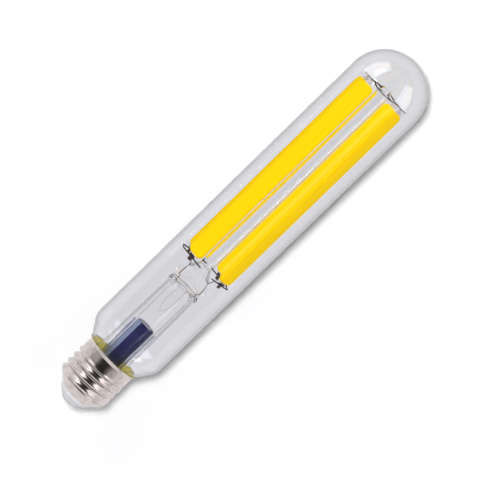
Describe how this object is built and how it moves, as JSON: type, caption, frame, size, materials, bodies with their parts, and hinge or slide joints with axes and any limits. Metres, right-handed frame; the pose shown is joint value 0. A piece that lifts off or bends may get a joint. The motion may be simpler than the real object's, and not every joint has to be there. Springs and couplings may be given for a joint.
{
  "type": "tubular led filament bulb",
  "caption": "Clear tubular glass lamp with yellow filament strips round a glass rod, a wire-bound stem, a driver in its foot and an Edison screw cap.",
  "frame": {"origin": "centre of the flat end of the centre contact, the lowest point of the lamp", "axes": "+Z along the lamp's axis, from the contact towards the glass dome; +X to the right when the thread's pictured side faces -Y"},
  "size_m": [0.0372, 0.0372, 0.2112],
  "materials": {
    "clear_glass": "clear, polished",
    "cap_metal": "nickel-plated, bright, lightly drawn",
    "contact_metal": "bright, plated",
    "insulator_plastic": "pale, smooth",
    "cement": "dull, grainy",
    "filament_silicone": "yellow, satin",
    "strip_ceramic": "matt",
    "lug_metal": "dull, bent sheet",
    "dark_wire": "oxidised, dark brown",
    "lead_metal": "drawn wire",
    "can_metal": "bright",
    "capacitor_film": "dark blue film with a pale stripe",
    "clear_film": "clear bluish film",
    "board_laminate": "green laminate",
    "chip_plastic": "moulded, black",
    "ferrite": "grey-black ferrite",
    "copper": "enamelled copper winding",
    "resistor_lacquer": "lacquered",
    "bung_rubber": "matt black"
  },
  "bodies": {
    "root": {"basing_cement": "cement", "cap_shell": "cap_metal", "capacitor_bung": "bung_rubber", "capacitor_can": "can_metal", "capacitor_legs": "lead_metal", "capacitor_sleeve": "capacitor_film", "centre_contact": "contact_metal", "centre_rod": "clear_glass", "choke_core": "ferrite", "choke_winding": "copper", "clear_sleeve": "clear_film", "contact_wire": "lead_metal", "controller": "chip_plastic", "driver_board": "board_laminate", "exhaust_tube": "clear_glass", "filament_coat_1": "filament_silicone", "filament_coat_2": "filament_silicone", "filament_coat_3": "filament_silicone", "filament_coat_4": "filament_silicone", "filament_strip_1": "strip_ceramic", "filament_strip_2": "strip_ceramic", "filament_strip_3": "strip_ceramic", "filament_strip_4": "strip_ceramic", "fuse_resistor": "resistor_lacquer", "glass_envelope": "clear_glass", "glass_stem": "clear_glass", "insulator": "insulator_plastic", "lead_wire_left": "lead_metal", "lead_wire_right": "lead_metal", "lower_lug_1": "lug_metal", "lower_lug_2": "lug_metal", "lower_lug_3": "lug_metal", "lower_lug_4": "lug_metal", "lower_wire_left": "dark_wire", "lower_wire_right": "dark_wire", "rectifier": "chip_plastic", "shell_wire": "lead_metal", "top_arm_1": "dark_wire", "top_arm_2": "dark_wire", "top_arm_3": "dark_wire", "top_arm_4": "dark_wire", "top_ring": "dark_wire", "upper_lug_1": "lug_metal", "upper_lug_2": "lug_metal", "upper_lug_3": "lug_metal", "upper_lug_4": "lug_metal"}
  },
  "joints": []
}
